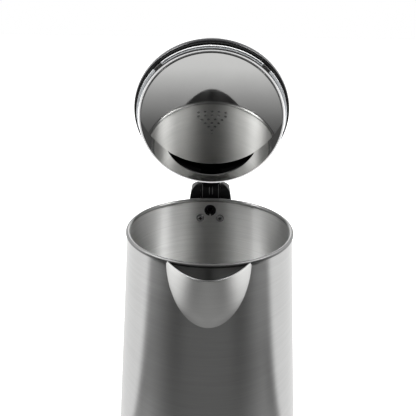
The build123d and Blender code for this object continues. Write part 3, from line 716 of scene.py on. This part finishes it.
# ---------------------------------------------------------------- lid ring, seal ribs and cover
ring_y, ring_r, ring_wire, ring_slope = 2.4 * MM, 58.9 * MM, 0.8 * MM, 0.075
ring_turn = Matrix.Rotation(-atan2(ring_slope, 1.0), 4, "X")
ring_frame = lid_frame @ Matrix.Translation((0, ring_y, -6.3 * MM)) @ ring_turn
WIRE_SIDES = 16
turns = [2 * pi * k / WIRE_SIDES for k in range(WIRE_SIDES)]
bead = [(ring_r + ring_wire * cos(a), ring_wire * sin(a)) for a in turns]
ring = revolve("liner_bead", bead, ring_frame, 360)
piece(ring, "lid", "liner_ring_steel", "liner_ring")

# three looped ribs of the clear seal; the first one has no floor between its walls
rib_in, rib_out, rib_wall = 58.95 * MM, 60.9 * MM, 0.42 * MM
rib_low, rib_high, rib_floor, rib_round = -4.05 * MM, -5.2 * MM, 0.35 * MM, 0.15 * MM
end_sweep = 0.4
rib_spans = ((-129.0, 78.0), (-43.0, 53.0), (170.0, 53.0))
ribs = []
for k, (start, sweep) in enumerate(rib_spans):  # degrees
    for wall_r in (rib_in + rib_wall / 2, rib_out - rib_wall / 2):
        section = rectangle(wall_r - rib_wall / 2, wall_r + rib_wall / 2, rib_low, rib_high)
        outline = rounded(section, [0, 0, rib_round, rib_round], 3)
        ribs.append(revolve("rib_wall", outline, lid_frame, 360, start, sweep))
    for end in (start, start + sweep - end_sweep):
        outline = rectangle(rib_in, rib_out, rib_low, rib_high)
        ribs.append(revolve("rib_end", outline, lid_frame, 720, end, end_sweep))
    if k:
        outline = rectangle(rib_in + rib_wall, rib_out - rib_wall, rib_low, rib_low - rib_floor)
        ribs.append(revolve("rib_floor", outline, lid_frame, 360, start, sweep))
seal_loops = joined("seal_loops", ribs)
keep_flat(seal_loops)
piece(seal_loops, "lid", "seal_clear", "seal_ribs")

cover_lip, cover_inside = -1.7 * MM, 2.4 * MM
outline = rounded(
    [
        (60.7 * MM, cover_inside),
        (61.0 * MM, cover_lip),
        (63.1 * MM, cover_lip),
        (63.5 * MM, 1.0 * MM),
        (63.5 * MM, 2.4 * MM),
        (61.8 * MM, 5.0 * MM),
        (57.6 * MM, 6.0 * MM),
        (57.6 * MM, 4.6 * MM),
    ],
    [0, 0.25 * MM, 1.1 * MM, 0.5 * MM, 1.2 * MM, 1.5 * MM, 0.2 * MM, 0],
)
cover = revolve("cover_shell", [(0, cover_inside)] + outline + [(0, 4.6 * MM)], lid_frame)

# the lid's arm comes in through a slot in the cover's edge and lies in a shallow recess
arm_half = 8.9 * MM
arm_slot = rectangle(-arm_half, arm_half, 60.2 * MM, 75 * MM)
arm_recess = rectangle(-arm_half, arm_half, 48 * MM, 66 * MM)
cut(
    cover,
    [
        prism("slot", arm_slot, -4 * MM, 12 * MM, lid_frame),
        prism("recess", arm_recess, 2.2 * MM, 3.5 * MM, lid_frame),
    ],
)
keep_flat(cover)
piece(cover, "lid", "black_gloss", "lid_cover")

# ---------------------------------------------------------------- raised beads on the lid's knuckle
knuckle_r = 9.4 * MM


def knuckle_bead(x, start, end, size, sunk, steps=16):
    """A bead that runs round the knuckle at x between two angles about the hinge pin."""
    line = knuckle_r - sunk
    turns = [radians(start + (end - start) * k / steps) for k in range(steps + 1)]
    points = [Vector((x, hinge.y + line * cos(a), hinge.z + line * sin(a))) for a in turns]
    return tube("bead", points, tapered(size, 0.3))


# two raised beads near the middle, and a finer one along each edge, in grey against the black knuckle: a
# painted highlight standing in for the glints on them
beads = [knuckle_bead(x * MM, 128, 178, size=0.5 * MM, sunk=0.2 * MM) for x in (-1.0, 1.7)]
beads += [knuckle_bead(x * MM, 95, 205, size=0.35 * MM, sunk=0.15 * MM) for x in (-7.3, 7.3)]
knuckle_beads = joined("knuckle_beads", beads)
piece(knuckle_beads, "lid", "seal_grey")

# ---------------------------------------------------------------- the lid button's spring
low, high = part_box("button_spring")
coil_wire = 0.35 * MM
coil_r = (high.x - low.x) / 2 - coil_wire
coil_x, coil_y = (low.x + high.x) / 2, (low.y + high.y) / 2
coil_foot, coil_length = low.z + coil_wire, high.z - low.z - 2 * coil_wire
COIL_TURNS, COIL_STEPS = 6, 24
flat_end = 0.12
coil_points = []
for k in range(COIL_TURNS * COIL_STEPS + 1):
    share = k / (COIL_TURNS * COIL_STEPS)
    rise = min(1.0, max(0.0, (share - flat_end) / (1 - 2 * flat_end)))
    a = 2 * pi * COIL_TURNS * share
    x, y = coil_x + coil_r * cos(a), coil_y + coil_r * sin(a)
    coil_points.append((x, y, coil_foot + coil_length * rise))
coil = tube("button_coil", coil_points, coil_wire, 10)
piece(coil, "jug", "spring_steel", "button_spring")
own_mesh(coil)

# ---------------------------------------------------------------- screws inside the jug
screw_head_r, screw_head_h = 3.4 * MM, 1.9 * MM


def pan_screw(name, x, z, y_face):
    """A pan-head screw driven along +Y, its head inside the jug, with a cross recess."""
    turn = Matrix.Translation((x, y_face, z)) @ Matrix.Rotation(radians(90), 4, "X")
    head, tall, fullness, steps = screw_head_r, screw_head_h, 0.6, 8
    outline = [(0, 0), (head, 0)]
    for k in range(1, steps):
        t = pi / 2 * k / steps
        outline.append((head * cos(t) ** fullness, tall * sin(t)))
    outline.append((0, tall))
    screw = revolve(name, outline, turn, 48)
    arm, thin, cross_floor = 2.1 * MM, 0.5 * MM, 0.9 * MM
    cross = []
    for a, b in ((arm, thin), (thin, arm)):
        cross.append(prism("bar", rectangle(-a, a, -b, b), cross_floor, tall + 1.1 * MM, turn))
    cut(screw, cross)
    keep_flat(screw)
    return screw


low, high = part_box("handle_screws_upper")
screw_x = (high.x - low.x) / 2 - screw_head_r
screw_z = (high.z + low.z) / 2
for side, name in ((-1, "left"), (1, "right")):
    screw = pan_screw("jug_screw_" + name, side * screw_x, screw_z, low.y + screw_head_h)
    piece(screw, "jug", "screw_steel")

# ---------------------------------------------------------------- stage
def show(g, seen, reflected, output):
    """White where it is seen directly, and the studio's own tones in reflections."""
    direct = g.node("LightPath").outputs["Is Camera Ray"]
    mix = g.node("MixShader", {0: direct, 1: reflected, 2: seen})
    g.tree.links.new(mix.outputs[0], output.inputs["Surface"])


# the floor's reflected tone: bright beside, behind and close to the kettle, and in one band in front
WHITE = (1, 1, 1, 1)
floor_mat = material("floor_white", (0.8, 0.8, 0.8), 0.0, 0.9, Emission_Color=WHITE, Emission_Strength=0.8)
g = Graph(floor_mat)
floor_x, floor_y = g.node("SeparateXYZ", {0: g.place()}).outputs[:2]
far = g.length(floor_x, floor_y)
facing = g.math("DIVIDE", g.math("MULTIPLY", floor_y, -1.0), g.math("MAXIMUM", far, 0.01))
beside = g.ramp(facing, 1.65, 0.0, 0.10, 0.22)
close = g.ramp(far, 0.8, 0.0, 0.12, 0.18)
FRONT_SPAN = 1.0
in_front = g.tones(
    g.ramp(floor_y, 0.0, 1.0, -FRONT_SPAN, FRONT_SPAN),
    [
        (0.0, 0.05),
        (1.0, 0.13),
        (0.2, 0.12),
        (0.27, 0.9),
        (0.3, 0.85),
        (0.335, 0.42),
        (0.36, 0.2),
        (0.38, 0.08),
        (0.44, 0.08),
    ],
)
narrow = g.ramp(g.math("ABSOLUTE", floor_x), 1.0, 0.15, 0.18, 0.34)
tone = g.math("MAXIMUM", g.math("MAXIMUM", beside, close), g.math("MULTIPLY", in_front, narrow))
glow = g.node("Emission", {"Color": g.xyz(tone, tone, tone)})
show(g, g.shader.outputs[0], glow.outputs[0], g.tree.nodes["Material Output"])

FLOOR_HALF, FLOOR_Z = 15.0, -0.0002
corners = [(x, y, FLOOR_Z) for x, y in rectangle(-FLOOR_HALF, FLOOR_HALF, -FLOOR_HALF, FLOOR_HALF)]
floor_mesh = bpy.data.meshes.new("floor")
floor_mesh.from_pydata(corners, [], [(0, 1, 2, 3)])
floor = bpy.data.objects.new("floor", floor_mesh)
bpy.context.scene.collection.objects.link(floor)
floor.data.materials.append(floor_mat)

# the room's reflected tone: bright walls behind, dim ones in front, a dark ceiling
world = bpy.data.worlds.new("studio")
world.use_nodes = True
bpy.context.scene.world = world
g = Graph(world)
white = world.node_tree.nodes["Background"]
white.inputs["Color"].default_value = WHITE
toward = g.node("SeparateXYZ", {0: g.node("TexCoord").outputs["Generated"]}).outputs
walls = g.tones(
    g.ramp(toward[1], 0.0, 1.0, -1.0, 1.0), [(0.0, 0.05), (1.0, 1.0), (0.42, 0.05), (0.46, 1.0)]
)
above = g.ramp(toward[2], 0.0, 0.22, 0.45, 0.7)
strength = g.ramp(toward[2], 1.65, 0.1, 0.75, 0.95)
room = g.node("Background", {"Color": g.math("MAXIMUM", walls, above), "Strength": strength})
show(g, white.outputs[0], room.outputs[0], world.node_tree.nodes["World Output"])


def softbox(name, place, size, power, aim=(0, 0, 0.2)):
    """A rectangular lamp at a place, turned towards the kettle."""
    light = bpy.data.lights.new(name, "AREA")
    light.shape = "RECTANGLE"
    light.size, light.size_y = size
    light.energy = power
    obj = bpy.data.objects.new(name, light)
    bpy.context.scene.collection.objects.link(obj)
    obj.location = place
    obj.rotation_euler = (Vector(aim) - Vector(place)).to_track_quat("-Z", "Y").to_euler()


softbox("left", (-0.80, 0.02, 1.2), size=(0.4, 0.6), power=15)
softbox("right", (0.80, -0.08, 1.2), size=(0.25, 0.6), power=12)

# ---------------------------------------------------------------- camera
camera_place = Vector((1.35, -335.4, 0.0)) * MM + Vector((0, 0, rim_z + 145.8 * MM))
camera_aim = Vector((-1.48, 0.0, 0.0)) * MM + Vector((0, 0, rim_z + 16.25 * MM))
camera_roll = radians(0.73)
cam = bpy.data.cameras.new("camera")
cam.sensor_width = 36.0
cam.lens = 40.9
camera = bpy.data.objects.new("camera", cam)
bpy.context.scene.collection.objects.link(camera)
forward = (camera_aim - camera_place).normalized()
right = forward.cross(Vector((0, 0, 1))).normalized()
up = right.cross(forward)
right, up = (
    right * cos(camera_roll) + up * sin(camera_roll),
    up * cos(camera_roll) - right * sin(camera_roll),
)
camera.matrix_world = Matrix(
    (
        (right.x, up.x, -forward.x, camera_place.x),
        (right.y, up.y, -forward.y, camera_place.y),
        (right.z, up.z, -forward.z, camera_place.z),
        (0, 0, 0, 1),
    )
)
bpy.context.scene.camera = camera
bpy.context.scene.view_settings.view_transform = "Standard"
